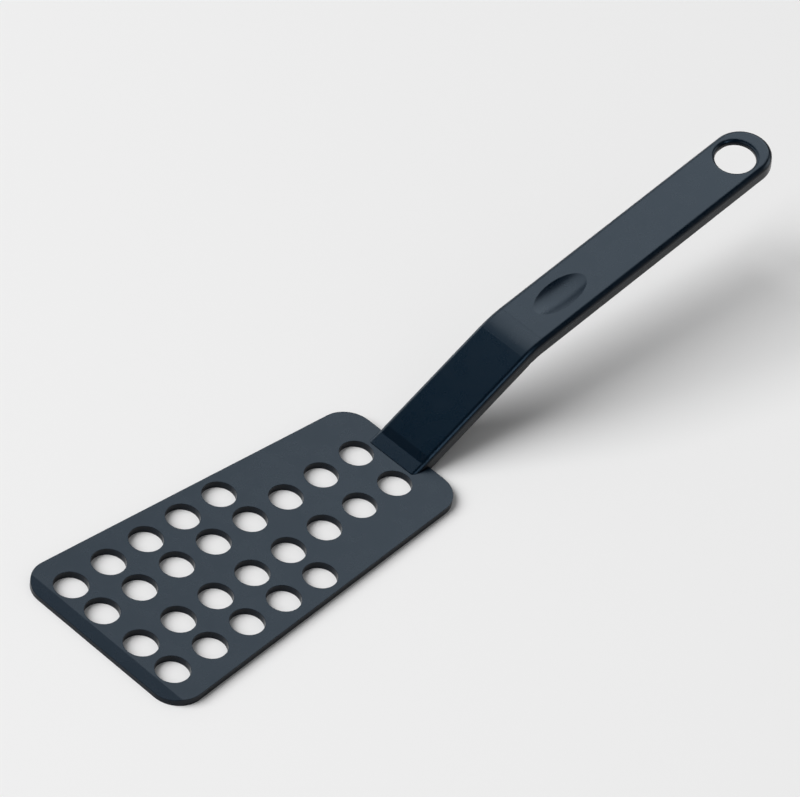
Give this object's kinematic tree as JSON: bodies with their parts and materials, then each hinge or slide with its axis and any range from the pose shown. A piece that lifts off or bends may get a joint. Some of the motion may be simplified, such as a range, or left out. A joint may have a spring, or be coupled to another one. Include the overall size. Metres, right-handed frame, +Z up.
{
  "type": "spatula",
  "caption": "Perforated turner with a flat tapered blade, a bevelled front edge, an angled neck and a slim grip that ends in a hanging eye.",
  "frame": {"origin": "middle of the blade's underside, the flat face that the spatula rests on", "axes": "+X from the blade's front edge towards the handle's end, +Y across the blade, +Z up through the blade"},
  "size_m": [0.3196, 0.075, 0.054],
  "materials": {
    "blade_nylon": "satin, fine moulded grain",
    "upper_shell_nylon": "satin, fine moulded grain",
    "lower_shell_nylon": "satin, fine moulded grain",
    "pin_nylon": "as moulded"
  },
  "bodies": {
    "root": {"blade": "blade_nylon", "handle_upper_shell": "upper_shell_nylon", "handle_lower_shell": "lower_shell_nylon", "tang_pins": "pin_nylon"}
  },
  "joints": []
}
